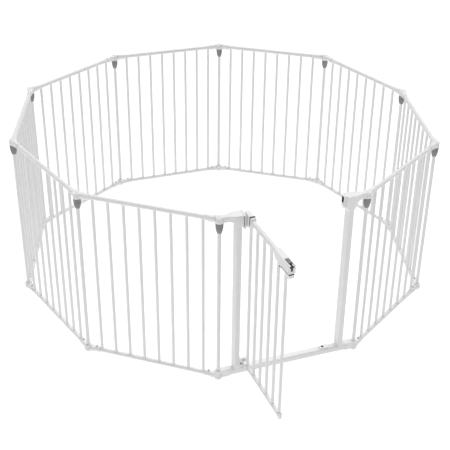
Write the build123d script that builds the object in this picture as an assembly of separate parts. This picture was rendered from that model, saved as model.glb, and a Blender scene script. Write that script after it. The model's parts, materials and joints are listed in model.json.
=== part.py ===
"""Ten-sided playpen of coated steel tube with a swinging gate.

Nine plain panels and one gate section stand in a ring. They are hinged on upright
corner posts, and a tapered collar under each top joint locks the corner. Lengths are
in millimetres, angles in degrees, +Z is up and Z = 0 is the floor. The pieces are
modelled with the gate section along X, the ring behind it (+Y) and the door standing
open towards -Y. At the end everything is shifted so that the origin is the centre of
the footprint.
"""
from build123d import *
from math import atan2, cos, degrees, hypot, radians, sin, sqrt
import os

# ---- ring of corner axes ----
PANEL_PITCH = 570.0            # corner axis to corner axis along a plain panel
GATE_PITCH = 600.0             # corner axis to corner axis along the gate section
LEFT_TURNS = (38.0, 36.2, 33.1, 40.3)   # turn at corners 1 to 4, from the gate's left end
RIGHT_TURNS = (32.7, 42.4, 29.7)        # turn at corners 10, 9 and 8, from its right end

# ---- plain panel ----
BAR_GAPS = 9                   # equal gaps between the two corner axes
BAR_RADIUS = 6.0
BAR_BORE = 5.0
RAIL_RADIUS = 9.5
RAIL_BORE = 8.2
RAIL_INSET = 22.0              # rail end to corner axis
TOP_RAIL_Z = 736.5
BOTTOM_RAIL_Z = 17.5

# ---- corner joint ----
POST_RADIUS = 7.25
POST_BORE = 6.0
POST_FOOT_Z = 5.0
POST_TOP_Z = 747.2
RING_RADIUS = 16.0
RING_CLEAR_RADIUS = 17.4       # room that a neighbour's ring needs to turn in
TURNING_BORE = POST_RADIUS + 0.1
OPEN_PIVOT_BORE = POST_RADIUS + 0.4
TOP_FIXED_RING = (737.4, 748.5)
TOP_TURNING_RING = (722.8, 737.0)
LOW_FIXED_RING = (6.0, 18.3)
LOW_TURNING_RING = (18.7, 31.0)
LOW_GATE_EAR = (31.4, 44.0)    # second ring, above the turning one, on the gate section
ARM_LENGTH = 56.0
ARM_RADIUS = 12.0
ARM_SCREW_X = 40.0
FOOT_RADIUS = 10.0
SCREW_HEAD_RADIUS = 4.2
SCREW_SHANK_RADIUS = 1.8
SCREW_HEAD_HEIGHT = 1.8

# ---- locking collar ----
COLLAR_TOP_Z = 722.0
COLLAR_BOTTOM_Z = 680.6
COLLAR_TOP_RADIUS = 15.4
COLLAR_TIP_RADIUS = 9.2
COLLAR_BORE = POST_RADIUS + 0.1

# ---- gate section ----
UPRIGHT_X = 228.0              # upright centre line, left and right
UPRIGHT_WIDTH = 21.0
UPRIGHT_DEPTH = 42.0
UPRIGHT_CORNER = 4.0
UPRIGHT_WALL = 1.6
UPRIGHT_TOP_Z = 741.0
THRESHOLD_Z = (14.0, 42.0)
THRESHOLD_DEPTH = 32.0
THRESHOLD_CORNER = 8.0
THRESHOLD_WALL = 1.8
THRESHOLD_HALF_LENGTH = 272.0
SHROUD_TOP_Z = 748.5
SHROUD_DEPTH = 47.0
SHROUD_ARM_Z = 725.0
LEFT_SHROUD_END_X = -212.0
LEFT_SHROUD_LOW_Z = 704.0
RIGHT_SHROUD_END_X = 208.0
RIGHT_SHROUD_LOW_Z = 680.0
STRIKE_FACE_X = 195.0          # free face of the strike boss on the right shroud
STRIKE_Z = (700.0, SHROUD_TOP_Z)
STRIKE_WIDTH = 21.0
POCKET_DEPTH = 10.0            # pocket in the strike boss for the latch bolt
POCKET_Z = (717.5, 745.0)
POCKET_WIDTH = 17.4

# ---- door ----
HINGE_X = -190.0
DOOR_OPEN_ANGLE = -88.0        # the door points along -Y, nearly a quarter turn from closed
FIRST_BAR = 35.0               # hinge axis to the first bar
DOOR_BAR_PITCH = 60.4
DOOR_BAR_COUNT = 6
DOOR_TOP_RAIL_Z = 730.0
DOOR_TOP_RAIL_RADIUS = 10.0
DOOR_TOP_RAIL_END = 322.0
DOOR_LOW_RAIL_Z = 56.5
DOOR_LOW_RAIL_RADIUS = 9.0
FIRST_BAR_TOP_Z = 741.0
DOOR_LOW_Z = 45.4
BARREL_RADIUS = 9.0
BARREL_BORE = 4.2
TOP_BOOT_Z = (702.6, 750.0)    # upper hinge boot, which hides its own barrel
TOP_BOOT_END = 47.0
BOOT_HALF_WIDTH = 10.5
TOP_PIN_Z = 735.0              # tip of the upper hinge pin
LOW_BARREL_Z = 72.0            # upper end of the lower hinge barrel
TONGUE_GAP = 0.6               # door at rest above the tongue that carries it
HINGE_PIN_RADIUS = 3.0
SLEEVE_RADIUS = BARREL_BORE - 0.08
SLEEVE_BORE = HINGE_PIN_RADIUS + 0.06
BRACKET_FACE_X = HINGE_X - BARREL_RADIUS - 1.5
HOUSING_START = 258.0
HOUSING_END = 380.0
HOUSING_WIDTH = 28.0
HOUSING_Z = (708.0, 744.0)
SLIDER = (335.0, 367.0)        # thumb slider, unlocked
SLIDER_FLOOR_Z = 740.2
BOLT = (347.0, 379.0)          # latch bolt, unlocked
BOLT_HEAD_Z = (731.5, 739.4)
BOLT_STEM_Z = (718.5, 731.5)
BOLT_HEAD_WIDTH = 15.0
BOLT_STEM_WIDTH = 6.4
LEVER_PIVOT_S = 312.5
LEVER_PIVOT_Z = 703.3
LEVER_PIN_RADIUS = 2.0
LEVER_HUB_RADIUS = 4.2
LEVER_Z = (697.0, 703.5)
LEVER_WIDTH = 21.0
LIP_Z = 689.5                  # lower edge of the lip that the fingers pull
CATCH_TOP_Z = 46.0             # top of the floor catch on the threshold
CATCH_HOLE_RADIUS = 5.6
DOOR_PIN_S = 346.0
DOOR_PIN_RADIUS = 4.0
DOOR_PIN_TIP_Z = 42.6
PIN_BOOT_S = 343.5
PIN_BOOT_RADIUS = 8.4

LATCH_BAR_S = FIRST_BAR + DOOR_BAR_PITCH * (DOOR_BAR_COUNT - 1)


# ---- small helpers ----
def upright(radius, low, high, x=0.0, y=0.0):
    """Cylinder standing on end between two heights."""
    return Pos(x, y, (low + high) / 2) * Cylinder(radius, high - low)


def lying(radius, start, end, z):
    """Cylinder lying along X between two stations."""
    return Pos((start + end) / 2, 0, z) * Rot(0, 90, 0) * Cylinder(radius, end - start)


def block(x_range, y_half, z_range):
    """Box between two X stations and two heights, centred on Y = 0."""
    size_x = x_range[1] - x_range[0]
    size_z = z_range[1] - z_range[0]
    centre = Pos(sum(x_range) / 2, 0, sum(z_range) / 2)
    return centre * Box(size_x, 2 * y_half, size_z)


def side_profile(edges, half_width):
    """Solid from an outline drawn in X and Z, spread both ways along Y."""
    return extrude(Plane.XZ * make_face(edges), amount=half_width, both=True)


def plan_profile(points, low, high):
    """Solid from an outline drawn in X and Y, standing between two heights."""
    outline = make_face(Polyline(points, close=True))
    return Pos(0, 0, low) * extrude(outline, amount=high - low)


def one(shape):
    """The single solid in a shape."""
    solids = shape.solids()
    assert len(solids) == 1, f"{len(solids)} solids where one was meant"
    return solids[0]


def corner_positions():
    """Corner axes 1 to 10, clockwise from above, starting at the gate's left end."""
    corner = {1: (-GATE_PITCH / 2, 0.0), 10: (GATE_PITCH / 2, 0.0)}
    heading = 180.0
    for number, turn in enumerate(LEFT_TURNS, start=1):
        heading -= turn
        x, y = corner[number]
        corner[number + 1] = (
            x + PANEL_PITCH * cos(radians(heading)),
            y + PANEL_PITCH * sin(radians(heading)),
        )
    heading = 0.0
    for number, turn in zip((10, 9, 8), RIGHT_TURNS):
        heading += turn
        x, y = corner[number]
        corner[number - 1] = (
            x + PANEL_PITCH * cos(radians(heading)),
            y + PANEL_PITCH * sin(radians(heading)),
        )
    # corner 6 closes the ring: the point one pitch from both corner 5 and corner 7
    (x5, y5), (x7, y7) = corner[5], corner[7]
    span = hypot(x7 - x5, y7 - y5)
    rise = sqrt(PANEL_PITCH**2 - (span / 2) ** 2)
    corner[6] = (
        (x5 + x7) / 2 - rise * (y7 - y5) / span,
        (y5 + y7) / 2 + rise * (x7 - x5) / span,
    )
    return corner


def panel_place(start, end):
    """Location that carries a panel's own X axis onto the line from one corner to another."""
    angle = degrees(atan2(end[1] - start[1], end[0] - start[0]))
    return Location((start[0], start[1], 0), (0, 0, angle))


# ---- plain panel, along its own X from the corner nearer the gate ----
def arm_screw(rail_z, side):
    """Screw through a joint arm into its rail, from above (side 1) or below (side -1)."""
    seat = rail_z + side * (ARM_RADIUS + 1.0)
    head_top = seat + side * SCREW_HEAD_HEIGHT
    shank_end = rail_z + side * 3.0
    head = upright(SCREW_HEAD_RADIUS, *sorted((seat, head_top)), x=ARM_SCREW_X)
    shank = upright(SCREW_SHANK_RADIUS, *sorted((shank_end, seat)), x=ARM_SCREW_X)
    return one(head + shank)


def joint_arm(rail_z, ring_z, bore, screw_side, foot):
    """Moulded arm: a ring round the post and a sleeve round the end of a rail."""
    sleeve = lying(ARM_RADIUS, 8.0, ARM_LENGTH, rail_z)
    sleeve = chamfer(sleeve.edges().sort_by(Axis.X)[-1], 1.5)
    boss_end = rail_z + screw_side * (ARM_RADIUS + 1.0)
    sleeve += upright(SCREW_HEAD_RADIUS + 1.6, *sorted((rail_z, boss_end)), x=ARM_SCREW_X)
    sleeve += block((8.0, 30.0), 9.5, (rail_z - ARM_RADIUS + 0.6, rail_z + ARM_RADIUS - 0.6))
    sleeve -= upright(RING_CLEAR_RADIUS, ring_z[1], ring_z[1] + 40)
    sleeve -= upright(RING_CLEAR_RADIUS, ring_z[0] - 40, ring_z[0])
    ring = upright(RING_RADIUS, *ring_z)
    ring = chamfer(ring.edges().filter_by(GeomType.CIRCLE), 0.8)
    arm = sleeve + ring
    if foot:
        arm += Pos(0, 0, ring_z[0] / 2) * Cone(FOOT_RADIUS, RING_RADIUS - 1.5, ring_z[0])
        arm -= upright(bore, POST_FOOT_Z, ring_z[1] + 1)
    else:
        arm -= upright(bore, ring_z[0] - 1, ring_z[1] + 1)
    arm -= lying(RAIL_RADIUS, RAIL_INSET, ARM_LENGTH + 1, rail_z)
    return one(arm - arm_screw(rail_z, screw_side))


def mirrored(shape):
    """The same piece at the panel's far end."""
    return Pos(PANEL_PITCH, 0, 0) * mirror(shape, about=Plane.YZ)


def corner_post():
    """Tube closed by a shallow plug at the top."""
    tube = upright(POST_RADIUS, POST_FOOT_Z, POST_TOP_Z)
    tube = chamfer(tube.edges().sort_by(Axis.Z)[-1], 1.0)
    return one(tube - upright(POST_BORE, POST_FOOT_Z - 1, POST_TOP_Z - 5))


def panel_frame(with_post):
    """Two rails, eight bars and, on most panels, the corner post at the far end."""
    levels = (TOP_RAIL_Z, BOTTOM_RAIL_Z)
    full = [lying(RAIL_RADIUS, RAIL_INSET, PANEL_PITCH - RAIL_INSET, z) for z in levels]
    holes = [lying(RAIL_BORE, RAIL_INSET - 1, PANEL_PITCH - RAIL_INSET + 1, z) for z in levels]
    screws = panel_screws()
    pieces = []
    for rail, hole in zip(full, holes):
        rail -= hole
        for screw in screws:
            rail -= screw
        pieces.append(one(rail))
    for number in range(1, BAR_GAPS):
        x = PANEL_PITCH * number / BAR_GAPS
        bar = upright(BAR_RADIUS, BOTTOM_RAIL_Z, TOP_RAIL_Z, x=x)
        bar -= upright(BAR_BORE, BOTTOM_RAIL_Z, TOP_RAIL_Z, x=x)
        pieces.append(one(bar - full[0] - full[1]))
    if with_post:
        pieces.append(Pos(PANEL_PITCH, 0, 0) * corner_post())
    return pieces


def panel_screws():
    """Four arm screws: the upper ones are driven from below, the lower ones from above."""
    near = [arm_screw(TOP_RAIL_Z, -1), arm_screw(BOTTOM_RAIL_Z, 1)]
    return near + [mirrored(screw) for screw in near]


def panel_joints(with_post):
    """Four moulded arms. The near rings turn on the parent's post."""
    near = [
        joint_arm(TOP_RAIL_Z, TOP_TURNING_RING, TURNING_BORE, -1, foot=False),
        joint_arm(BOTTOM_RAIL_Z, LOW_TURNING_RING, TURNING_BORE, 1, foot=False),
    ]
    if with_post:
        far = [
            joint_arm(TOP_RAIL_Z, TOP_FIXED_RING, POST_RADIUS, -1, foot=False),
            joint_arm(BOTTOM_RAIL_Z, LOW_FIXED_RING, POST_RADIUS, 1, foot=True),
        ]
    else:
        far = [
            joint_arm(TOP_RAIL_Z, TOP_TURNING_RING, OPEN_PIVOT_BORE, -1, foot=False),
            joint_arm(BOTTOM_RAIL_Z, LOW_TURNING_RING, OPEN_PIVOT_BORE, 1, foot=False),
        ]
    return near + [mirrored(arm) for arm in far]


def collar():
    """Tapered locking collar that slides on the post below the joint."""
    shoulder_z = COLLAR_TOP_Z - 16.0
    belly = (13.6, (shoulder_z + COLLAR_BOTTOM_Z) / 2 + 3.0)
    outline = [
        Line((COLLAR_BORE, COLLAR_BOTTOM_Z), (COLLAR_TIP_RADIUS, COLLAR_BOTTOM_Z)),
        ThreePointArc((COLLAR_TIP_RADIUS, COLLAR_BOTTOM_Z), belly, (COLLAR_TOP_RADIUS - 0.4, shoulder_z)),
        Line((COLLAR_TOP_RADIUS - 0.4, shoulder_z), (COLLAR_TOP_RADIUS, COLLAR_TOP_Z - 1.2)),
        Line((COLLAR_TOP_RADIUS, COLLAR_TOP_Z - 1.2), (COLLAR_TOP_RADIUS - 1.2, COLLAR_TOP_Z)),
        Line((COLLAR_TOP_RADIUS - 1.2, COLLAR_TOP_Z), (COLLAR_BORE, COLLAR_TOP_Z)),
        Line((COLLAR_BORE, COLLAR_TOP_Z), (COLLAR_BORE, COLLAR_BOTTOM_Z)),
    ]
    return one(revolve(Plane.XZ * make_face(outline), Axis.Z))


# ---- gate section ----
def upright_outline(grow=0.0):
    corner = UPRIGHT_CORNER + grow
    return RectangleRounded(UPRIGHT_WIDTH + 2 * grow, UPRIGHT_DEPTH + 2 * grow, corner)


def gate_uprights():
    pieces = []
    for x in (-UPRIGHT_X, UPRIGHT_X):
        section = upright_outline() - upright_outline(-UPRIGHT_WALL)
        height = UPRIGHT_TOP_Z - THRESHOLD_Z[1]
        pieces.append(one(Pos(x, 0, THRESHOLD_Z[1]) * extrude(section, amount=height)))
    return pieces


def threshold_solid(shrink=0.0):
    """Rounded bar lying along X, or the space inside it."""
    depth = THRESHOLD_DEPTH - 2 * shrink
    height = THRESHOLD_Z[1] - THRESHOLD_Z[0] - 2 * shrink
    section = RectangleRounded(depth, height, THRESHOLD_CORNER - shrink)
    place = Plane((0, 0, sum(THRESHOLD_Z) / 2), x_dir=(0, 1, 0), z_dir=(1, 0, 0))
    return extrude(place * section, amount=THRESHOLD_HALF_LENGTH, both=True)


def threshold_bar():
    return one(threshold_solid() - threshold_solid(THRESHOLD_WALL))


def shroud(inner_x, low_z, outer_z, inner_drop):
    """Top moulding of the gate section, drawn for the right side (X > 0).

    It joins the corner ring to the upright and overhangs the doorway as far as inner_x.
    Its underside is at low_z on the doorway side and at outer_z on the ring side.
    """
    ring_x = GATE_PITCH / 2
    post_inner = UPRIGHT_X - UPRIGHT_WIDTH / 2
    outer_x = UPRIGHT_X + UPRIGHT_WIDTH / 2 + 2.0
    gusset_x = outer_x + 24.0
    top = SHROUD_TOP_Z
    outline = [
        Line((ring_x, top), (inner_x, top)),
        Line((inner_x, top), (inner_x, low_z + inner_drop)),
        Line((inner_x, low_z + inner_drop), (post_inner, low_z)),
        Line((post_inner, low_z), (outer_x, outer_z)),
        RadiusArc((outer_x, outer_z), (gusset_x, SHROUD_ARM_Z), SHROUD_ARM_Z - outer_z + 6.0),
        Line((gusset_x, SHROUD_ARM_Z), (ring_x, SHROUD_ARM_Z)),
        Line((ring_x, SHROUD_ARM_Z), (ring_x, top)),
    ]
    half = SHROUD_DEPTH / 2
    body = side_profile(outline, half)
    plan = [
        (inner_x - 1, -half),
        (outer_x, -half),
        (gusset_x + 6, -ARM_RADIUS),
        (ring_x, -ARM_RADIUS),
        (ring_x, ARM_RADIUS),
        (gusset_x + 6, ARM_RADIUS),
        (outer_x, half),
        (inner_x - 1, half),
    ]
    body &= plan_profile(plan, low_z - 5, top + 5)
    top_edges = body.edges().group_by(Axis.Z)[-1]
    body = chamfer(top_edges.filter_by(Axis.X), 3.0)
    body -= upright(RING_CLEAR_RADIUS, low_z - 5, TOP_FIXED_RING[0], x=ring_x)
    body += upright(RING_RADIUS, *TOP_FIXED_RING, x=ring_x)
    body -= upright(POST_RADIUS, low_z, top + 1, x=ring_x)
    seat = extrude(upright_outline(), amount=UPRIGHT_TOP_Z - low_z + 5)
    body -= Pos(UPRIGHT_X, 0, low_z - 5) * seat
    return body


def left_shroud():
    body = shroud(-LEFT_SHROUD_END_X, LEFT_SHROUD_LOW_Z, LEFT_SHROUD_LOW_Z + 4.0, 1.0)
    return one(mirror(body, about=Plane.YZ))


def right_shroud():
    return one(shroud(RIGHT_SHROUD_END_X, RIGHT_SHROUD_LOW_Z, RIGHT_SHROUD_LOW_Z + 14.0, 21.0))


def strike_boss():
    """Strike on the right shroud, with the pocket that the latch bolt enters."""
    boss = block((STRIKE_FACE_X, RIGHT_SHROUD_END_X), STRIKE_WIDTH / 2, STRIKE_Z)
    boss = chamfer(boss.edges().group_by(Axis.X)[0], 1.5)
    pocket = (STRIKE_FACE_X - 1, STRIKE_FACE_X + POCKET_DEPTH)
    return one(boss - block(pocket, POCKET_WIDTH / 2, POCKET_Z))


def gate_foot(side):
    """Moulded end of the threshold bar: a sleeve, two ears round the post and a foot."""
    ring_x = GATE_PITCH / 2
    low, high = LOW_FIXED_RING[0], LOW_GATE_EAR[1]
    start = THRESHOLD_HALF_LENGTH - 18.0
    half = THRESHOLD_DEPTH / 2 + 1.6
    outline = [
        Line((start, THRESHOLD_Z[0] - 1.6), (start, THRESHOLD_Z[1] + 1.6)),
        Line((start, THRESHOLD_Z[1] + 1.6), (ring_x - 14, high)),
        Line((ring_x - 14, high), (ring_x, high)),
        Line((ring_x, high), (ring_x, low)),
        Line((ring_x, low), (start, THRESHOLD_Z[0] - 1.6)),
    ]
    body = side_profile(outline, half)
    plan = [
        (start, -half),
        (start + 18, -half),
        (ring_x, -ARM_RADIUS),
        (ring_x, ARM_RADIUS),
        (start + 18, half),
        (start, half),
    ]
    body &= plan_profile(plan, low, high)
    rounded = block((start, ring_x), half, (THRESHOLD_Z[0] - 1.6, THRESHOLD_Z[1] + 1.6))
    body &= chamfer(rounded.edges().filter_by(Axis.X), 4.0)
    body += upright(RING_RADIUS, low, high, x=ring_x)
    body += Pos(ring_x, 0, low / 2) * Cone(FOOT_RADIUS, RING_RADIUS - 1.5, low)
    gap = (LOW_FIXED_RING[1], LOW_GATE_EAR[0])
    body -= upright(RING_CLEAR_RADIUS, *gap, x=ring_x)
    body -= upright(POST_RADIUS, POST_FOOT_Z, high + 1, x=ring_x)
    body -= threshold_solid()
    if side < 0:
        body = mirror(body, about=Plane.YZ)
    return one(body)


def block_screw():
    """Screw in the front of the lower hinge block."""
    at = Pos((BRACKET_FACE_X - UPRIGHT_X + UPRIGHT_WIDTH / 2) / 2, -14.0, 62.0) * Rot(90, 0, 0)
    head = Pos(0, 0, SCREW_HEAD_HEIGHT / 2) * Cylinder(SCREW_HEAD_RADIUS, SCREW_HEAD_HEIGHT)
    shank = Pos(0, 0, -5.0) * Cylinder(SCREW_SHANK_RADIUS, 10.0)
    return one(at * (head + shank))


def hinge_bracket():
    """Upper hinge bracket: a cheek on the left shroud and a tongue under the door's boot."""
    cheek_x = (LEFT_SHROUD_END_X + 2.5, BRACKET_FACE_X - 2.0)
    low = TOP_BOOT_Z[0] - TONGUE_GAP - 12.0
    tongue_z = (low, TOP_BOOT_Z[0] - TONGUE_GAP)
    neck = block((LEFT_SHROUD_END_X, cheek_x[0]), 20.0, (low + 16, SHROUD_TOP_Z - 4))
    cheek = block(cheek_x, SHROUD_DEPTH / 2 - 0.5, (low, SHROUD_TOP_Z))
    cheek = chamfer(cheek.edges().group_by(Axis.Z)[-1], 2.0)
    tongue = block((cheek_x[1] - 1, HINGE_X), BOOT_HALF_WIDTH, tongue_z)
    tongue += upright(BOOT_HALF_WIDTH, *tongue_z, x=HINGE_X)
    body = cheek + neck + tongue
    return one(body - upright(HINGE_PIN_RADIUS, low + 3, tongue_z[1] + 1, x=HINGE_X))


def lower_hinge_block():
    """Block on the threshold beside the left upright, with a tongue under the door."""
    top = 84.0
    base = THRESHOLD_Z[1]
    left = -UPRIGHT_X + UPRIGHT_WIDTH / 2
    body = block((left, BRACKET_FACE_X), 14.0, (base, top))
    body = chamfer(body.edges().group_by(Axis.Z)[-1], 4.5)
    tongue_top = DOOR_LOW_Z - TONGUE_GAP
    body += block((BRACKET_FACE_X - 1, HINGE_X), 11.0, (base, tongue_top))
    body += upright(11.0, base, tongue_top, x=HINGE_X)
    body -= upright(HINGE_PIN_RADIUS, base - 1, tongue_top + 1, x=HINGE_X)
    return one(body - block_screw())


def hinge_pins():
    """Fixed pins that stand up from the two tongues into the door's hinge boots."""
    high = upright(HINGE_PIN_RADIUS, TOP_BOOT_Z[0] - TONGUE_GAP - 9, TOP_PIN_Z, x=HINGE_X)
    low = upright(HINGE_PIN_RADIUS, THRESHOLD_Z[1], LOW_BARREL_Z + 6, x=HINGE_X)
    return [one(high), one(low)]


def hinge_sleeves():
    """Bushes on the pins: they rise with the door, which turns round them."""
    pieces = []
    for low, high in ((TOP_BOOT_Z[0], TOP_PIN_Z + 1), (DOOR_LOW_Z, LOW_BARREL_Z)):
        bush = upright(SLEEVE_RADIUS, low, high, x=HINGE_X)
        pieces.append(one(bush - upright(SLEEVE_BORE, low - 1, high + 1, x=HINGE_X)))
    return pieces


def floor_catch():
    """Raised catch on the threshold, with the hole for the door's bottom pin."""
    centre = HINGE_X + DOOR_PIN_S
    plan = RectangleRounded(44.0, 24.0, 9.0)
    body = Pos(centre + 6.0, 0, THRESHOLD_Z[1]) * extrude(plan, amount=CATCH_TOP_Z - THRESHOLD_Z[1])
    body = chamfer(body.edges().group_by(Axis.Z)[-1], 1.2)
    return one(body - upright(CATCH_HOLE_RADIUS, THRESHOLD_Z[1] - 1, CATCH_TOP_Z + 1, x=centre))


# ---- door, along its own X from the hinge axis ----
def door_bar_station(number):
    return FIRST_BAR + DOOR_BAR_PITCH * number


def top_rail_solid():
    return lying(DOOR_TOP_RAIL_RADIUS, FIRST_BAR, DOOR_TOP_RAIL_END, DOOR_TOP_RAIL_Z)


def low_rail_solid():
    return lying(DOOR_LOW_RAIL_RADIUS, FIRST_BAR, LATCH_BAR_S + 8, DOOR_LOW_RAIL_Z)


def first_bar_solid():
    return upright(BAR_RADIUS, DOOR_LOW_Z, FIRST_BAR_TOP_Z, x=FIRST_BAR)


def door_bars():
    """The first bar runs the door's full height. The others stand between the rails."""
    bore = upright(BAR_BORE, DOOR_LOW_Z, FIRST_BAR_TOP_Z, x=FIRST_BAR)
    pieces = [one(first_bar_solid() - bore)]
    for number in range(1, DOOR_BAR_COUNT):
        x = door_bar_station(number)
        top = DOOR_TOP_RAIL_Z if number < DOOR_BAR_COUNT - 1 else HOUSING_Z[0] + 14.0
        bar = upright(BAR_RADIUS, DOOR_LOW_RAIL_Z, top, x=x)
        bar -= upright(BAR_BORE, DOOR_LOW_RAIL_Z, top, x=x)
        pieces.append(one(bar - top_rail_solid() - low_rail_solid()))
    return pieces


def door_rails():
    top = top_rail_solid()
    top -= lying(DOOR_TOP_RAIL_RADIUS - 1.4, 0, DOOR_TOP_RAIL_END + 1, DOOR_TOP_RAIL_Z)
    low = low_rail_solid()
    low -= lying(DOOR_LOW_RAIL_RADIUS - 1.2, 0, LATCH_BAR_S + 9, DOOR_LOW_RAIL_Z)
    keep = block((FIRST_BAR, 400), 30, (0, 800)) - first_bar_solid()
    return [one(top & keep), one(low & keep)]


def top_boot():
    """Upper hinge boot: a tall moulding from the hinge axis past the first bar."""
    low, high = TOP_BOOT_Z
    body = block((0, TOP_BOOT_END), BOOT_HALF_WIDTH, TOP_BOOT_Z)
    body += upright(BOOT_HALF_WIDTH, low, high)
    body = chamfer(body.edges().group_by(Axis.Z)[-1], 2.0)
    return body - upright(BARREL_BORE, low - 1, TOP_PIN_Z + 2)


def low_boot():
    """Lower hinge boot: an arm on the low rail with a barrel round the pin."""
    arm_z = (DOOR_LOW_Z, DOOR_LOW_RAIL_Z + 10.5)
    arm = block((0, FIRST_BAR + 13.0), BOOT_HALF_WIDTH, arm_z)
    arm = chamfer(arm.edges().filter_by(Axis.X), 2.5)
    arm -= upright(BARREL_RADIUS + 4.0, 0, 800) - upright(BARREL_RADIUS, -1, 801)
    arm += upright(BARREL_RADIUS, DOOR_LOW_Z, LOW_BARREL_Z)
    arm += block((BARREL_RADIUS - 2, BARREL_RADIUS + 5), BARREL_RADIUS - 3.5, arm_z)
    return arm - upright(BARREL_BORE, -1, 801)


def pin_boot():
    """Slim boot on the free end of the low rail, with the bottom pin."""
    low = DOOR_LOW_RAIL_Z - DOOR_LOW_RAIL_RADIUS - 1.2
    body = upright(PIN_BOOT_RADIUS, low, DOOR_LOW_RAIL_Z + 12.0, x=PIN_BOOT_S)
    body = chamfer(body.edges().sort_by(Axis.Z)[-1], 1.2)
    body += upright(DOOR_PIN_RADIUS, DOOR_PIN_TIP_Z + 2.0, low + 0.5, x=DOOR_PIN_S)
    point = Cone(DOOR_PIN_RADIUS - 2.0, DOOR_PIN_RADIUS, 2.0)
    return body + Pos(DOOR_PIN_S, 0, DOOR_PIN_TIP_Z + 1.0) * point


def door_boots():
    """Moulded corners: two at the hinge and one with the bottom pin."""
    latch_bar = upright(BAR_RADIUS, DOOR_LOW_RAIL_Z, 700, x=LATCH_BAR_S)
    fill = first_bar_solid() + top_rail_solid() + low_rail_solid() + latch_bar
    return [one(body - fill) for body in (top_boot(), low_boot(), pin_boot())]


def handle_housing():
    """Latch housing on the free end of the top rail."""
    low, high = HOUSING_Z
    half = HOUSING_WIDTH / 2
    outline = [
        Line((HOUSING_START, high - 2.5), (HOUSING_START + 20, high)),
        Line((HOUSING_START + 20, high), (HOUSING_END, high)),
        Line((HOUSING_END, high), (HOUSING_END, low)),
        Line((HOUSING_END, low), (HOUSING_START + 22, low)),
        RadiusArc((HOUSING_START + 22, low), (HOUSING_START, low + 15), 40.0),
        Line((HOUSING_START, low + 15), (HOUSING_START, high - 2.5)),
    ]
    body = side_profile(outline, half)
    plan = [
        (HOUSING_START, -half + 2.5),
        (HOUSING_START + 30, -half),
        (HOUSING_END, -half),
        (HOUSING_END, half),
        (HOUSING_START + 30, half),
        (HOUSING_START, half - 2.5),
    ]
    body &= plan_profile(plan, low - 5, high + 5)
    cross = block((HOUSING_START, HOUSING_END), half, (low, high))
    body &= chamfer(cross.edges().filter_by(Axis.X), 3.0)
    ear_x = (LEVER_PIVOT_S - 6.0, LEVER_PIVOT_S + 6.0)
    for side in (-1, 1):
        body += Pos(0, side * (half - 1.5), 0) * block(ear_x, 1.25, (LEVER_Z[0], low + 6))
    body -= top_rail_solid()
    fifth_bar = door_bar_station(DOOR_BAR_COUNT - 2)
    body -= upright(BAR_RADIUS, low - 10, DOOR_TOP_RAIL_Z, x=fifth_bar)
    body -= upright(BAR_RADIUS, low - 10, low + 14.0, x=LATCH_BAR_S)
    body -= block((SLIDER[0] - 1.0, HOUSING_END + 1), 7.3, (SLIDER_FLOOR_Z, high + 1))
    bolt_room = (BOLT[0] - 1.0, HOUSING_END + 1)
    head_room = (BOLT_HEAD_Z[0] - 0.4, BOLT_HEAD_Z[1] + 0.4)
    body -= block(bolt_room, BOLT_HEAD_WIDTH / 2 + 0.4, head_room)
    body -= block(bolt_room, BOLT_STEM_WIDTH / 2 + 0.4, (BOLT_STEM_Z[0] - 0.4, high))
    pin = Pos(LEVER_PIVOT_S, 0, LEVER_PIVOT_Z) * Rot(90, 0, 0) * Cylinder(LEVER_PIN_RADIUS, 60)
    return one(body - pin)


def lever_pin():
    length = HOUSING_WIDTH - 0.4
    pin = Cylinder(LEVER_PIN_RADIUS, length)
    return one(Pos(LEVER_PIVOT_S, 0, LEVER_PIVOT_Z) * Rot(90, 0, 0) * pin)


def thumb_slider():
    """Ribbed grip on top of the housing that moves the bolt."""
    start, end = SLIDER
    body = block((start, end), 7.0, (SLIDER_FLOOR_Z + 0.3, HOUSING_Z[1]))
    pad = block((start + 2, end), 6.0, (HOUSING_Z[1] - 0.5, HOUSING_Z[1] + 3.5))
    body += chamfer(pad.edges().group_by(Axis.Z)[-1], 1.0)
    for number in range(5):
        at = Pos(start + 9 + 4.5 * number, 0, HOUSING_Z[1] + 3.5) * Rot(90, 0, 0)
        body -= at * Cylinder(1.0, 20)
    return one(body)


def latch_bolt():
    """T-section bolt, shown drawn back, with a web up to the thumb slider."""
    body = block(BOLT, BOLT_HEAD_WIDTH / 2, BOLT_HEAD_Z)
    body += block(BOLT, BOLT_STEM_WIDTH / 2, (BOLT_STEM_Z[0], BOLT_STEM_Z[1] + 1))
    web_z = (BOLT_HEAD_Z[1] - 1, SLIDER_FLOOR_Z + 0.1)
    body += block((BOLT[0], SLIDER[1] - 2), BOLT_STEM_WIDTH / 2, web_z)
    return one(body)


def squeeze_lever():
    """Release lever under the housing, pivoted at its hinge-side end."""
    start, end = LEVER_PIVOT_S - 5.5, HOUSING_END
    half = LEVER_WIDTH / 2
    across = Pos(LEVER_PIVOT_S, 0, LEVER_PIVOT_Z) * Rot(90, 0, 0)
    body = block((start, end), half, LEVER_Z)
    body += block((end - 9, end), half, (LIP_Z, LEVER_Z[1]))
    body = chamfer(body.edges().filter_by(Axis.Y).group_by(Axis.Z)[0], 2.0)
    body += across * Cylinder(LEVER_HUB_RADIUS, LEVER_WIDTH)
    slot = (LATCH_BAR_S - BAR_RADIUS - 3, LATCH_BAR_S + BAR_RADIUS + 3)
    body -= block(slot, BAR_RADIUS + 1.0, (LIP_Z - 1, LEVER_Z[1] + 8))
    return one(body - across * Cylinder(LEVER_PIN_RADIUS + 0.06, 60))


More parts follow.
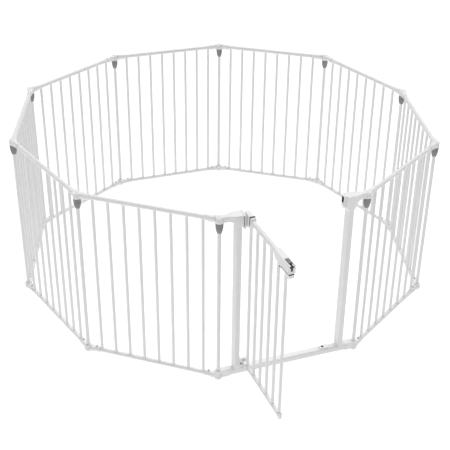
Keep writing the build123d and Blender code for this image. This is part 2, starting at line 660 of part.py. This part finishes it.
# ---- assembly ----
def ring_links(corner):
    """Each panel's number with the corner nearer the gate and the corner beyond it."""
    left = [(number, number, number + 1) for number in range(1, 6)]
    right = [(number, number + 1, number) for number in range(9, 5, -1)]
    return [(panel, corner[near], corner[far], panel != 6) for panel, near, far in left + right]


def build_nodes():
    """Every node's solids, in the modelling position."""
    corner = corner_positions()
    nodes = {}
    frames = {post: panel_frame(post) for post in (True, False)}
    joints = {post: panel_joints(post) for post in (True, False)}
    screws = panel_screws()
    for panel, near, far, has_post in ring_links(corner):
        place = panel_place(near, far)
        nodes[f"panel_{panel}_frame"] = [place * piece for piece in frames[has_post]]
        nodes[f"panel_{panel}_joints"] = [place * piece for piece in joints[has_post]]
        nodes[f"panel_{panel}_screws"] = [place * piece for piece in screws]
    ring = collar()
    for number, (x, y) in corner.items():
        nodes[f"collar_{number}"] = [Pos(x, y, 0) * ring]

    post = corner_post()
    nodes["gate_corner_posts"] = [Pos(*corner[n], 0) * post for n in (1, 10)]
    nodes["gate_uprights"] = gate_uprights()
    nodes["threshold_bar"] = [threshold_bar()]
    nodes["left_shroud"] = [left_shroud()]
    nodes["right_shroud"] = [right_shroud()]
    nodes["strike_boss"] = [strike_boss()]
    nodes["gate_feet"] = [gate_foot(-1), gate_foot(1)]
    nodes["hinge_bracket"] = [hinge_bracket()]
    nodes["lower_hinge_block"] = [lower_hinge_block()]
    nodes["hinge_block_screw"] = [block_screw()]
    nodes["hinge_pins"] = hinge_pins()
    nodes["hinge_sleeves"] = hinge_sleeves()
    nodes["floor_catch"] = [floor_catch()]

    open_door = Location((HINGE_X, 0, 0), (0, 0, DOOR_OPEN_ANGLE))
    door = {
        "door_rails": door_rails(),
        "door_bars": door_bars(),
        "door_boots": door_boots(),
        "handle_housing": [handle_housing()],
        "lever_pin": [lever_pin()],
        "thumb_slider": [thumb_slider()],
        "latch_bolt": [latch_bolt()],
        "squeeze_lever": [squeeze_lever()],
    }
    for name, pieces in door.items():
        nodes[name] = [open_door * piece for piece in pieces]
    return nodes


def footprint_centre(nodes):
    """Middle of the whole model's bounding box in X and Y."""
    boxes = [piece.bounding_box() for pieces in nodes.values() for piece in pieces]
    low_x, high_x = min(b.min.X for b in boxes), max(b.max.X for b in boxes)
    low_y, high_y = min(b.min.Y for b in boxes), max(b.max.Y for b in boxes)
    return (low_x + high_x) / 2, (low_y + high_y) / 2


def main():
    os.makedirs("parts", exist_ok=True)
    nodes = build_nodes()
    centre_x, centre_y = footprint_centre(nodes)
    print(f"origin shift: {-centre_x:.4f} {-centre_y:.4f}")
    for name, pieces in nodes.items():
        moved = [Pos(-centre_x, -centre_y, 0) * piece for piece in pieces]
        shape = moved[0] if len(moved) == 1 else Compound(moved)
        export_step(shape, f"parts/{name}.step")


main()
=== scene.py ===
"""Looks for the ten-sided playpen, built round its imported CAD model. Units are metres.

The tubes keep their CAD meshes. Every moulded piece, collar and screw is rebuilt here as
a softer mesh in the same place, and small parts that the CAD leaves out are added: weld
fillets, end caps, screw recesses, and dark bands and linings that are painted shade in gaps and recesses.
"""
import json
from math import atan2, cos, pi, radians, sin

import bmesh
import bpy
from mathutils import Matrix, Vector


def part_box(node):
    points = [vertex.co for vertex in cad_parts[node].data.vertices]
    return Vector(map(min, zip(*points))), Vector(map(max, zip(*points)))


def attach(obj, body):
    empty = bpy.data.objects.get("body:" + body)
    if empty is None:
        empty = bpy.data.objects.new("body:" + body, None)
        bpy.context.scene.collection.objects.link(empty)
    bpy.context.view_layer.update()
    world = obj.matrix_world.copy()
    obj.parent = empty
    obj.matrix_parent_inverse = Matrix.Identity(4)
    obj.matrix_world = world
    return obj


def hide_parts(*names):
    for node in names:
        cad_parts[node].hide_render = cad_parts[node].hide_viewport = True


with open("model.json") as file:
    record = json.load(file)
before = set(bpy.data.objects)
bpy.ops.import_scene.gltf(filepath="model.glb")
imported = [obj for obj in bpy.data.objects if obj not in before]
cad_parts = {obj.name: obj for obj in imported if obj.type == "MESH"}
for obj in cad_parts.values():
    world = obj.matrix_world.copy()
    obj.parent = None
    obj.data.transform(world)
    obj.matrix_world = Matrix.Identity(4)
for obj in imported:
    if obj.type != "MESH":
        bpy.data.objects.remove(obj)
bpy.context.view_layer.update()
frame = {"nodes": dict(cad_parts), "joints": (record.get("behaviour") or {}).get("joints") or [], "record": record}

RECORD = frame["record"]
NODES = frame["nodes"]
JOINTS = {joint["name"]: joint for joint in frame["joints"]}
SLOT_OF = {part["node"]: part["material_slot"] for part in RECORD["subparts"]}
BODY_OF = {node: body for body, nodes in RECORD["behaviour"]["bodies"].items() for node in nodes}

MM = 0.001

# ---- camera, placed against the gate section and the floor ----
GATE_CENTRE = (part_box("threshold_bar")[0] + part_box("threshold_bar")[1]) / 2
CAMERA_FROM_GATE = (-1.3035, -2.7942)
CAMERA_HEIGHT = 2.4442
CAMERA_PITCH = radians(-30.24)
CAMERA_YAW = radians(-20.147)
CAMERA_ROLL = radians(-0.663)
CAMERA_LENS = 75.55
SENSOR_WIDTH = 36.0

# ---- studio ----
WORLD_STRENGTH = 0.36
SUNS = (  # name, strength and the way it shines
    ("key", 2.2, (-0.25, -0.35, -1.0)),
    ("side", 0.32, (1.0, 0.15, -0.3)),
)
SUN_SPREAD = radians(60)
FLOOR_HALF = 9.0
FLOOR_DROP = 0.5 * MM
FLOOR_GLOW = 0.85
FLOOR_SHADE = 0.30

# ---- surfaces ----
TINT_STOPS = (0.3, 0.7)
NOISE_ROUGHNESS = 0.55
CLOUD_SCALE = 3.0
GLOSS_SCALE = 60.0
GLOSS_SPREAD = 0.07
GRAIN_STRENGTH = 0.35
STREAK_SCALE = 900.0
PLATED_ROUGHNESS = (0.28, 0.46)
COATINGS = {  # colour, roughness, grain scale, grain depth in mm, spread of the tone
    "white_steel": ((0.82, 0.82, 0.82), 0.40, 1500.0, 0.12, 0.015),
    "white_plastic": ((0.84, 0.84, 0.84), 0.46, 2800.0, 0.08, 0.02),
    "grey_plastic": ((0.24, 0.243, 0.247), 0.45, 2400.0, 0.12, 0.08),
    # dark_plastic also colours the painted shade: the dark bands, strip and linings in the hinge, latch, strike
    # and catch gaps
    "dark_plastic": ((0.025, 0.025, 0.027), 0.50, 2600.0, 0.10, 0.1),
}
PLATED_TONES = ((0.16, 0.16, 0.165), (0.30, 0.30, 0.31))
FLOOR_PAINT = ((FLOOR_SHADE,) * 3, 0.8, 300.0, 0.1, 0.005)

# ---- sizes shared with the tube frame ----
BAR_RADIUS = 6.0 * MM
BAR_COUNT = 8
RAIL_RADIUS = 9.5 * MM
TOP_RAIL_Z = 736.5 * MM
LOW_RAIL_Z = 17.5 * MM
ARM_RADIUS = 12.0 * MM
SCREW_STATION = 40.0 * MM
SCREW_RADIUS = 4.2 * MM
SCREW_RISE = 1.0 * MM  # from the arm's surface to the seat of the screw's head
DOOR_BAR_COUNT = 6
DOOR_BARS_IN_HOUSING = 2  # the last bars end in the handle housing, not at the top rail
DOOR_FIRST_BAR = 35.0 * MM
DOOR_BAR_PITCH = 60.4 * MM
DOOR_TOP_RAIL_Z = 730.0 * MM
DOOR_TOP_RAIL_RADIUS = 10.0 * MM
DOOR_LOW_RAIL_Z = 56.5 * MM
DOOR_LOW_RAIL_RADIUS = 9.0 * MM
DOOR_PIN_STATION = 346.0 * MM
BOOT_END = 47.0 * MM
LEVER_PIVOT_STATION = 312.5 * MM
LEVER_PIVOT_Z = 703.3 * MM

# ---- turned pieces, as (radius, height) in mm ----
COLLAR_PROFILE = (
    (7.35, 680.8), (8.6, 680.6), (9.3, 681.4), (10.9, 686.0), (12.4, 691.5), (13.6, 697.5),
    (14.4, 703.0), (14.75, 707.0), (14.3, 707.5), (14.3, 708.4), (14.9, 708.9), (15.1, 713.5),
    (14.7, 714.0), (14.7, 714.9), (15.2, 715.4), (15.35, 720.4), (15.1, 721.5), (14.4, 721.95),
    (7.35, 721.95),
)
POST_CAP_PROFILE = (
    (7.15, 746.9), (7.15, 747.6), (6.7, 747.6), (6.7, 748.2), (6.2, 748.9), (4.6, 749.5),
    (2.4, 749.85),
)
HINGE_COVER_PROFILE = (
    (8.8, 72.1), (8.8, 76.6), (8.2, 78.2), (6.4, 79.4), (3.4, 80.0), (0.4, 80.2),
    (0.4, 79.0), (6.0, 78.6), (6.8, 77.6), (6.8, 72.1),
)
LEVER_PIN_END_PROFILE = ((0.3, 0.0), (3.6, 0.0), (3.6, 0.7), (3.2, 1.0), (0.3, 1.0))
# Painted shade: a dark cup lining the floor catch's hole, where the hole is in shade.
CATCH_HOLE_SHADE_PROFILE = (
    (0.3, 42.05), (5.5, 42.05), (5.5, 46.05), (5.0, 46.05), (4.9, 42.3), (0.3, 42.3),
)
SCREW_CUP_PROFILE = ((-0.2, 0.1), (0.3, 0.9), (0.9, 0.9), (1.3, 0.1))  # radius past the head's
SCREW_DOME = ((1.0, 0.0), (1.0, 0.35), (0.93, 0.8), (0.8, 1.2), (0.62, 1.5))  # shares, mm
WELD_PROFILE = ((-0.3, 0.3), (1.5, 0.1), (0.6, -0.5), (0.15, -1.6), (-0.3, -1.6))  # reach, drop

# ---- cross recess of a screw, as shares of its head's radius and heights ----
CROSS_REACH = 0.5
CROSS_HALF_WIDTH = 0.13
CROSS_TAPER = 0.8
CROSS_TOP = 1.55 * MM
CROSS_FLOOR = 0.5 * MM
BLOCK_SCREW_INSET = 1.8 * MM

# ---- trim of the hinge, the strike and the latch, and the dark pieces that paint shade in their gaps ----
BAND_CHAMFER = 0.35 * MM
BRACKET_TRIM_X = (0.1 * MM, 2.4 * MM)  # from the bracket's left face
# Painted shade: a dark band down the bracket's left side stands for the shadow in the gap beside the door's hinge
# boot.
BRACKET_SHADE_BAND_HALF = 22.6 * MM
BRACKET_SHADE_BAND_SHORT = (12.0 * MM, 5.0 * MM)  # short of the bracket's bottom and of its top
BRACKET_STRIP_HALF = 22.4 * MM
BRACKET_STRIP_DOWN = (4.9 * MM, 0.6 * MM)  # its bottom and top, down from the bracket's top
# Painted shade: a dark band round the outer end of the upper hinge boot stands for the shadowed notch there.
BOOT_SHADE_BAND_X = (BOOT_END - 7.0 * MM, BOOT_END - 0.6 * MM)
BOOT_SHADE_BAND_HALF = 10.62 * MM
BOOT_SHADE_BAND_Z = (716.0 * MM, 750.15 * MM)
RAIL_SLEEVE_X = (BOOT_END - 0.3 * MM, BOOT_END + 9.0 * MM)
RAIL_SLEEVE_HALF = 10.6 * MM
RAIL_SLEEVE_Z = (717.0 * MM, 747.0 * MM)
# Painted shade: dark lining on the back and side walls of the strike pocket, where the pocket is in shade.
STRIKE_POCKET_SHADE_Z = (717.7 * MM, 744.8 * MM)
STRIKE_BACK_X = (9.4 * MM, 9.8 * MM)  # from the face of the strike boss
STRIKE_BACK_HALF = 8.6 * MM
STRIKE_WALL_X = (0.8 * MM, 9.7 * MM)  # from the face of the strike boss
STRIKE_WALL_OFFSET = 8.35 * MM
STRIKE_WALL_HALF = 0.25 * MM
# Painted shade: a dark strip on top of the squeeze lever makes the slot under the handle housing read dark.
LEVER_SHADE_STRIP_X = (319.0 * MM, 379.8 * MM)
LEVER_SHADE_STRIP_HALF = 10.3 * MM
LEVER_SHADE_STRIP_Z = (703.3 * MM, 704.1 * MM)
LEVER_PIN_END_OFFSET = 13.3 * MM


# ---- materials ----
def new_material(name):
    """A node material, its node tree and its principled shader."""
    material = bpy.data.materials.new(name)
    material.use_nodes = True
    return material, material.node_tree, material.node_tree.nodes["Principled BSDF"]


def noise(tree, place, scale, detail):
    node = tree.nodes.new("ShaderNodeTexNoise")
    node.inputs["Scale"].default_value = scale
    node.inputs["Detail"].default_value = detail
    node.inputs["Roughness"].default_value = NOISE_ROUGHNESS
    tree.links.new(place.outputs["Object"], node.inputs["Vector"])
    return node


def tint(tree, source, dark, light):
    """Colour that runs from dark to light over the middle of a 0 to 1 value."""
    node = tree.nodes.new("ShaderNodeValToRGB")
    for element, position, colour in zip(node.color_ramp.elements, TINT_STOPS, (dark, light)):
        element.position = position
        element.color = (*colour, 1)
    tree.links.new(source, node.inputs["Fac"])
    return node


def grade(tree, source, low, high):
    """Spread a 0 to 1 value over low to high."""
    node = tree.nodes.new("ShaderNodeMapRange")
    node.inputs["To Min"].default_value = low
    node.inputs["To Max"].default_value = high
    tree.links.new(source, node.inputs["Value"])
    return node


def scaled(colour, factor):
    return tuple(min(1.0, c * factor) for c in colour)


def coated_surface(name, colour, rough, grain, depth, spread):
    """Satin surface: soft cloudy colour, uneven gloss and a fine grain in the normals."""
    material, tree, shader = new_material(name)
    place = tree.nodes.new("ShaderNodeTexCoord")
    cloud = noise(tree, place, CLOUD_SCALE, detail=5.0)
    tone = tint(tree, cloud.outputs["Fac"], scaled(colour, 1 - spread), scaled(colour, 1 + spread))
    tree.links.new(tone.outputs["Color"], shader.inputs["Base Color"])
    gloss = noise(tree, place, GLOSS_SCALE, detail=2.0)
    uneven = grade(tree, gloss.outputs["Fac"], rough - GLOSS_SPREAD, rough + GLOSS_SPREAD)
    tree.links.new(uneven.outputs["Result"], shader.inputs["Roughness"])
    fine = noise(tree, place, grain, detail=2.0)
    bump = tree.nodes.new("ShaderNodeBump")
    bump.inputs["Strength"].default_value = GRAIN_STRENGTH
    bump.inputs["Distance"].default_value = depth * MM
    tree.links.new(fine.outputs["Fac"], bump.inputs["Height"])
    tree.links.new(bump.outputs["Normal"], shader.inputs["Normal"])
    return material


def plated_steel(name, dark, light):
    """Metal with fine uneven streaks in its tone and its gloss."""
    material, tree, shader = new_material(name)
    place = tree.nodes.new("ShaderNodeTexCoord")
    streaks = noise(tree, place, STREAK_SCALE, detail=2.0)
    tone = tint(tree, streaks.outputs["Fac"], dark, light)
    tree.links.new(tone.outputs["Color"], shader.inputs["Base Color"])
    shader.inputs["Metallic"].default_value = 1.0
    uneven = grade(tree, streaks.outputs["Fac"], *PLATED_ROUGHNESS)
    tree.links.new(uneven.outputs["Result"], shader.inputs["Roughness"])
    return material


MATERIALS = {name: coated_surface(name, *look) for name, look in COATINGS.items()}
MATERIALS["screw_steel"] = plated_steel("screw_steel", *PLATED_TONES)


def dress_cad_nodes():
    """Give every CAD node the material of its slot."""
    for node, slot in SLOT_OF.items():
        mesh = NODES[node].data
        mesh.materials.clear()
        mesh.materials.append(MATERIALS[slot])


# ---- mesh tools ----
def add_object(name, bm, slot):
    """Put a bmesh into the scene as a named, smooth-shaded piece with a slot's material."""
    bmesh.ops.recalc_face_normals(bm, faces=bm.faces)
    mesh = bpy.data.meshes.new(name)
    bm.to_mesh(mesh)
    bm.free()
    for face in mesh.polygons:
        face.use_smooth = True
    piece = bpy.data.objects.new(name, mesh)
    bpy.context.scene.collection.objects.link(piece)
    mesh.materials.append(MATERIALS[slot])
    return piece


def bridge(bm, low, high):
    """Faces between two closed loops that have the same number of vertices."""
    for step in range(len(low)):
        after = (step + 1) % len(low)
        bm.faces.new((low[step], low[after], high[after], high[step]))


def lathe(bm, profile, place, segments=32):
    """Turn a profile of (radius, height) points round the Z axis of a place matrix."""
    rings = []
    for radius, height in profile:
        ring = []
        for step in range(segments):
            angle = 2 * pi * step / segments
            point = place @ Vector((radius * cos(angle), radius * sin(angle), height))
            ring.append(bm.verts.new(point))
        rings.append(ring)
    for low, high in zip(rings, rings[1:]):
        bridge(bm, low, high)
    return rings


def in_metres(profile):
    return [(radius * MM, height * MM) for radius, height in profile]


def closed_ring(bm, profile, place, segments=32):
    """Turn a closed outline of (radius, height) points, given in millimetres."""
    rings = lathe(bm, in_metres(profile), place, segments)
    bridge(bm, rings[-1], rings[0])


def cap_ends(bm, first, last):
    """Close the two open ends of a run of loops."""
    bm.faces.new(list(reversed(first)))
    bm.faces.new(last)


def soften(piece, voxel, passes):
    """Remesh a moulded piece finely and smooth it, so that its edges are rounded."""
    remesh = piece.modifiers.new("remesh", "REMESH")
    remesh.mode = "VOXEL"
    remesh.voxel_size = voxel
    remesh.use_smooth_shade = True
    smooth = piece.modifiers.new("smooth", "SMOOTH")
    smooth.iterations = passes
    smooth.factor = 0.5
    bpy.context.view_layer.update()
    graph = bpy.context.evaluated_depsgraph_get()
    mesh = bpy.data.meshes.new_from_object(piece.evaluated_get(graph))
    piece.modifiers.clear()
    piece.data = mesh
    for face in mesh.polygons:
        face.use_smooth = True


def moulded_copy(node, voxel, passes):
    """Rounded copy of a CAD node's mesh that is shown in its place."""
    piece = bpy.data.objects.new(node + "_moulding", NODES[node].data.copy())
    bpy.context.scene.collection.objects.link(piece)
    soften(piece, voxel, passes)
    piece.data.materials.clear()
    piece.data.materials.append(MATERIALS[SLOT_OF[node]])
    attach(piece, BODY_OF[node])
    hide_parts(node)


def finish_piece(name, bm, slot, body, replaced=()):
    """Make a piece of a bmesh with a slot's material, hang it on its body and hide the nodes it replaces."""
    piece = add_object(name, bm, slot)
    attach(piece, body)
    if replaced:
        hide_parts(*replaced)


# ---- where things stand ----
def middle(node):
    low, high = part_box(node)
    return (low + high) / 2


CORNERS = {number: middle(f"collar_{number}").xy for number in range(1, 11)}
POST_OWNER = {1: "gate", 10: "gate"}
PANEL_ENDS = {}
for panel in range(1, 10):
    near, far = (panel, panel + 1) if panel <= 5 else (panel + 1, panel)
    PANEL_ENDS[panel] = (near, far)
    if panel != 6:
        POST_OWNER[far] = f"panel_{panel}"

DOOR_PIVOT = Vector(JOINTS["door_swing"]["pos_m"])


def standing_at(x, y=0.0, z=0.0):
    return Matrix.Translation((x, y, z))


def facing(origin, along):
    """Matrix that stands on the floor at an origin, with X turned to a level direction."""
    return standing_at(origin.x, origin.y) @ Matrix.Rotation(atan2(along.y, along.x), 4, "Z")


def panel_place(panel):
    """Matrix of a panel's own axes, X from its near corner to its far one, and its length."""
    near, far = (CORNERS[corner] for corner in PANEL_ENDS[panel])
    along = far - near
    return facing(near, along), along.length


def door_place():
    """Matrix of the door's own axes, X from the hinge axis to the latch."""
    return facing(DOOR_PIVOT, Vector(JOINTS["thumb_slide"]["axis"]))


# ---- weld fillets where bars meet rails ----
def weld_fillet(bm, place, station, rail_z, rail_radius, side):
    """Fillet round a bar that meets a rail from above (side 1) or from below (side -1)."""
    segments = 20
    loops = []
    for reach, drop in WELD_PROFILE:
        loop = []
        radius = BAR_RADIUS + reach * MM
        for step in range(segments):
            angle = 2 * pi * step / segments
            across = radius * sin(angle)
            saddle = (rail_radius**2 - across**2) ** 0.5
            height = rail_z + side * (saddle - drop * MM)
            point = Vector((station + radius * cos(angle), across, height))
            loop.append(bm.verts.new(place @ point))
        loops.append(loop)
    for one, other in zip(loops, loops[1:] + loops[:1]):
        bridge(bm, one, other)


def panel_welds():
    for panel in PANEL_ENDS:
        place, pitch = panel_place(panel)
        bm = bmesh.new()
        for number in range(1, BAR_COUNT + 1):
            station = pitch * number / (BAR_COUNT + 1)
            weld_fillet(bm, place, station, TOP_RAIL_Z, RAIL_RADIUS, -1)
            weld_fillet(bm, place, station, LOW_RAIL_Z, RAIL_RADIUS, 1)
        finish_piece(f"panel_{panel}_welds", bm, "white_steel", f"panel_{panel}")


def door_welds():
    place = door_place()
    bm = bmesh.new()
    for number in range(1, DOOR_BAR_COUNT):
        station = DOOR_FIRST_BAR + DOOR_BAR_PITCH * number
        weld_fillet(bm, place, station, DOOR_LOW_RAIL_Z, DOOR_LOW_RAIL_RADIUS, 1)
        if number < DOOR_BAR_COUNT - DOOR_BARS_IN_HOUSING:
            weld_fillet(bm, place, station, DOOR_TOP_RAIL_Z, DOOR_TOP_RAIL_RADIUS, -1)
    finish_piece("door_welds", bm, "white_steel", "door")


# ---- corner pieces ----
def collars():
    """Tapered locking collars with a rolled rim, two fine grooves and a rounded tip."""
    for number, corner in CORNERS.items():
        bm = bmesh.new()
        closed_ring(bm, COLLAR_PROFILE, standing_at(corner.x, corner.y), 40)
        node = f"collar_{number}"
        finish_piece(f"{node}_shell", bm, "grey_plastic", f"{node}_body", [node])


def post_caps():
    """Domed plug in the top of each corner post."""
    for number, corner in CORNERS.items():
        bm = bmesh.new()
        rings = lathe(bm, in_metres(POST_CAP_PROFILE), standing_at(corner.x, corner.y))
        cap_ends(bm, rings[0], rings[-1])
        finish_piece(f"post_cap_{number}", bm, "white_plastic", POST_OWNER[number])


def screw_head(bm, place, radius):
    """Domed head with a cross recess, standing on Z = 0 of a place matrix."""
    dome = [(share * radius, height * MM) for share, height in SCREW_DOME]
    rings = lathe(bm, dome, place, 24)
    # the recess is a plus at the top and a smaller plus lower down
    reach, half = CROSS_REACH * radius, CROSS_HALF_WIDTH * radius
    plus = []
    for quarter in range(4):
        turn = Matrix.Rotation(pi / 2 * quarter, 2)
        for x, y in ((reach, -half), (reach, half), (half, half)):
            plus.append(turn @ Vector((x, y)))
    top = [bm.verts.new(place @ Vector((p.x, p.y, CROSS_TOP))) for p in plus]
    sunk = [p * CROSS_TAPER for p in plus]
    floor = [bm.verts.new(place @ Vector((p.x, p.y, CROSS_FLOOR))) for p in sunk]
    bridge(bm, top, floor)
    # each point of the plus meets two steps of the dome's rim
    rim = rings[-1]
    for step in range(len(top)):
        after = (step + 1) % len(top)
        left, centre, right = rim[2 * step - 1], rim[2 * step], rim[2 * step + 1]
        bm.faces.new((left, centre, right, top[step]))
        bm.faces.new((right, top[after], top[step]))
    cap_ends(bm, rings[0], floor)


def panel_screws():
    """Screws of the joint arms, and the collar round each one's head."""
    cup = [(SCREW_RADIUS / MM + past, height) for past, height in SCREW_CUP_PROFILE]
    for panel in PANEL_ENDS:
        place, pitch = panel_place(panel)
        heads = bmesh.new()
        cups = bmesh.new()
        for station in (SCREW_STATION, pitch - SCREW_STATION):
            for rail_z, side in ((TOP_RAIL_Z, -1), (LOW_RAIL_Z, 1)):
                seat = rail_z + side * (ARM_RADIUS + SCREW_RISE)
                flip = Matrix.Rotation(0 if side > 0 else pi, 4, "X")
                at = place @ standing_at(station, 0.0, seat) @ flip
                screw_head(heads, at, SCREW_RADIUS)
                closed_ring(cups, cup, at)
        body = f"panel_{panel}"
        finish_piece(f"{body}_screw_heads", heads, "screw_steel", body, [f"{body}_screws"])
        finish_piece(f"{body}_screw_cups", cups, "white_plastic", body)


# ---- gate and door trim, with dark pieces that paint shade in gaps and recesses ----
def band(bm, place, x_range, y_half, z_range):
    """Closed box with slightly chamfered long edges, in a place's own axes."""
    c = BAND_CHAMFER
    z0, z1 = z_range
    outline = [
        (-y_half + c, z0), (y_half - c, z0), (y_half, z0 + c), (y_half, z1 - c),
        (y_half - c, z1), (-y_half + c, z1), (-y_half, z1 - c), (-y_half, z0 + c),
    ]
    first, last = [[bm.verts.new(place @ Vector((x, y, z))) for y, z in outline] for x in x_range]
    bridge(bm, first, last)
    cap_ends(bm, first, last)


def shifted(base, offsets):
    """Two positions, given by their offsets from a base."""
    return tuple(base + offset for offset in offsets)


def hinge_trim():
    """Dark band on the upper hinge bracket, painted shade of the gap along its left side, a white strip over its
    top, and the lower barrel's cover.
    """
    low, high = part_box("hinge_bracket")
    place = standing_at(0.0, (low.y + high.y) / 2)
    x_range = shifted(low.x, BRACKET_TRIM_X)
    short_below, short_above = BRACKET_SHADE_BAND_SHORT
    shade_band = bmesh.new()
    band(shade_band, place, x_range, BRACKET_SHADE_BAND_HALF, (low.z + short_below, high.z - short_above))
    finish_piece("bracket_shade_band", shade_band, "dark_plastic", "gate")
    down_to_bottom, down_to_top = BRACKET_STRIP_DOWN
    strip = bmesh.new()
    z_range = (high.z - down_to_bottom, high.z - down_to_top)
    band(strip, place, x_range, BRACKET_STRIP_HALF, z_range)
    finish_piece("bracket_top_strip", strip, "white_plastic", "gate")

    cover = bmesh.new()
    closed_ring(cover, HINGE_COVER_PROFILE, standing_at(DOOR_PIVOT.x, DOOR_PIVOT.y))
    finish_piece("hinge_pin_cover", cover, "white_plastic", "door")


def boot_shade_band():
    """Dark band round the outer end of the upper hinge boot, painted shade of the shadowed notch there, and a
    white sleeve on the rail.
    """
    shade_band = bmesh.new()
    band(shade_band, door_place(), BOOT_SHADE_BAND_X, BOOT_SHADE_BAND_HALF, BOOT_SHADE_BAND_Z)
    finish_piece("boot_shade_band", shade_band, "dark_plastic", "door")
    sleeve = bmesh.new()
    band(sleeve, door_place(), RAIL_SLEEVE_X, RAIL_SLEEVE_HALF, RAIL_SLEEVE_Z)
    finish_piece("top_rail_sleeve", sleeve, "white_plastic", "door")


def latch_trim():
    """Dark strip on top of the squeeze lever, painted shade that makes the slot under the handle housing read
    dark, and the dark ends of its pin.
    """
    place = door_place()
    shade_strip = bmesh.new()
    band(shade_strip, place, LEVER_SHADE_STRIP_X, LEVER_SHADE_STRIP_HALF, LEVER_SHADE_STRIP_Z)
    finish_piece("lever_shade_strip", shade_strip, "dark_plastic", "lever")
    ends = bmesh.new()
    for side in (-1, 1):
        at = place @ standing_at(LEVER_PIVOT_STATION, side * LEVER_PIN_END_OFFSET, LEVER_PIVOT_Z)
        closed_ring(ends, LEVER_PIN_END_PROFILE, at @ Matrix.Rotation(-side * pi / 2, 4, "X"), 24)
    finish_piece("lever_pin_ends", ends, "dark_plastic", "door")


def catch_hole_shade():
    """Dark cup lining the floor catch's hole, which takes the closed door's pin: painted shade inside the hole."""
    bm = bmesh.new()
    closed_ring(bm, CATCH_HOLE_SHADE_PROFILE, standing_at(DOOR_PIVOT.x + DOOR_PIN_STATION, DOOR_PIVOT.y))
    finish_piece("catch_hole_shade", bm, "dark_plastic", "gate")


def strike_pocket_shade():
    """Dark lining of the pocket that the latch bolt enters: painted shade on its back and side walls."""
    low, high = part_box("strike_boss")
    y_mid = (low.y + high.y) / 2
    back, wall = shifted(low.x, STRIKE_BACK_X), shifted(low.x, STRIKE_WALL_X)
    bm = bmesh.new()
    band(bm, standing_at(0.0, y_mid), back, STRIKE_BACK_HALF, STRIKE_POCKET_SHADE_Z)
    for side in (-1, 1):
        place = standing_at(0.0, y_mid + side * STRIKE_WALL_OFFSET)
        band(bm, place, wall, STRIKE_WALL_HALF, STRIKE_POCKET_SHADE_Z)
    finish_piece("strike_pocket_shade", bm, "dark_plastic", "gate")


def block_screw():
    """Screw of the lower hinge block, seen from the front."""
    low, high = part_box("hinge_block_screw")
    centre = (low + high) / 2
    at = standing_at(centre.x, low.y + BLOCK_SCREW_INSET, centre.z)
    bm = bmesh.new()
    screw_head(bm, at @ Matrix.Rotation(pi / 2, 4, "X"), (high.x - low.x) / 2)
    finish_piece("hinge_block_screw_head", bm, "screw_steel", "gate", ["hinge_block_screw"])


def moulded_pieces():
    """Rounded copies of the moulded CAD nodes, finer where the detail is small."""
    arms = [f"panel_{panel}_joints" for panel in PANEL_ENDS]
    gate = ("left_shroud", "right_shroud", "gate_feet", "hinge_bracket", "lower_hinge_block")
    small = ("floor_catch", "strike_boss", "door_boots", "handle_housing", "squeeze_lever")
    latch = ("thumb_slider", "latch_bolt")
    for nodes, voxel, passes in ((arms, 1.3, 3), (gate, 1.0, 5), (small, 0.7, 3), (latch, 0.45, 2)):
        for node in nodes:
            moulded_copy(node, voxel * MM, passes)


# ---- studio ----
def build_stage():
    """Glowing pale floor."""
    mesh = bpy.data.meshes.new("floor")
    corners = [(-1, -1, 0), (1, -1, 0), (1, 1, 0), (-1, 1, 0)]
    mesh.from_pydata([Vector(c) * FLOOR_HALF for c in corners], [], [(0, 1, 2, 3)])
    floor = bpy.data.objects.new("floor", mesh)
    floor.location.z = -FLOOR_DROP
    bpy.context.scene.collection.objects.link(floor)
    paint = coated_surface("floor_paint", *FLOOR_PAINT)
    shader = paint.node_tree.nodes["Principled BSDF"]
    shader.inputs["Emission Color"].default_value = (1, 1, 1, 1)
    shader.inputs["Emission Strength"].default_value = FLOOR_GLOW
    mesh.materials.append(paint)


def build_lights():
    """White surroundings and two wide suns."""
    world = bpy.data.worlds.new("studio")
    bpy.context.scene.world = world
    world.use_nodes = True
    background = world.node_tree.nodes["Background"]
    background.inputs["Color"].default_value = (1, 1, 1, 1)
    background.inputs["Strength"].default_value = WORLD_STRENGTH
    for name, strength, direction in SUNS:
        light = bpy.data.lights.new(name, "SUN")
        light.energy = strength
        light.angle = SUN_SPREAD
        lamp = bpy.data.objects.new(name, light)
        lamp.rotation_euler = Vector(direction).to_track_quat("-Z", "Y").to_euler()
        bpy.context.scene.collection.objects.link(lamp)
    bpy.context.scene.view_settings.view_transform = "Standard"


def build_camera():
    data = bpy.data.cameras.new("camera")
    data.lens = CAMERA_LENS
    data.sensor_width = SENSOR_WIDTH
    camera = bpy.data.objects.new("camera", data)
    across, along = CAMERA_FROM_GATE
    place = standing_at(GATE_CENTRE.x + across, GATE_CENTRE.y + along, CAMERA_HEIGHT)
    turn = Matrix.Rotation(CAMERA_YAW, 4, "Z") @ Matrix.Rotation(CAMERA_PITCH, 4, "X")
    turn = turn @ Matrix.Rotation(CAMERA_ROLL, 4, "Y") @ Matrix.Rotation(pi / 2, 4, "X")
    camera.matrix_world = place @ turn
    bpy.context.scene.collection.objects.link(camera)
    bpy.context.scene.camera = camera


dress_cad_nodes()
panel_welds()
door_welds()
collars()
post_caps()
panel_screws()
hinge_trim()
boot_shade_band()
latch_trim()
catch_hole_shade()
strike_pocket_shade()
block_screw()
moulded_pieces()
build_stage()
build_lights()
build_camera()
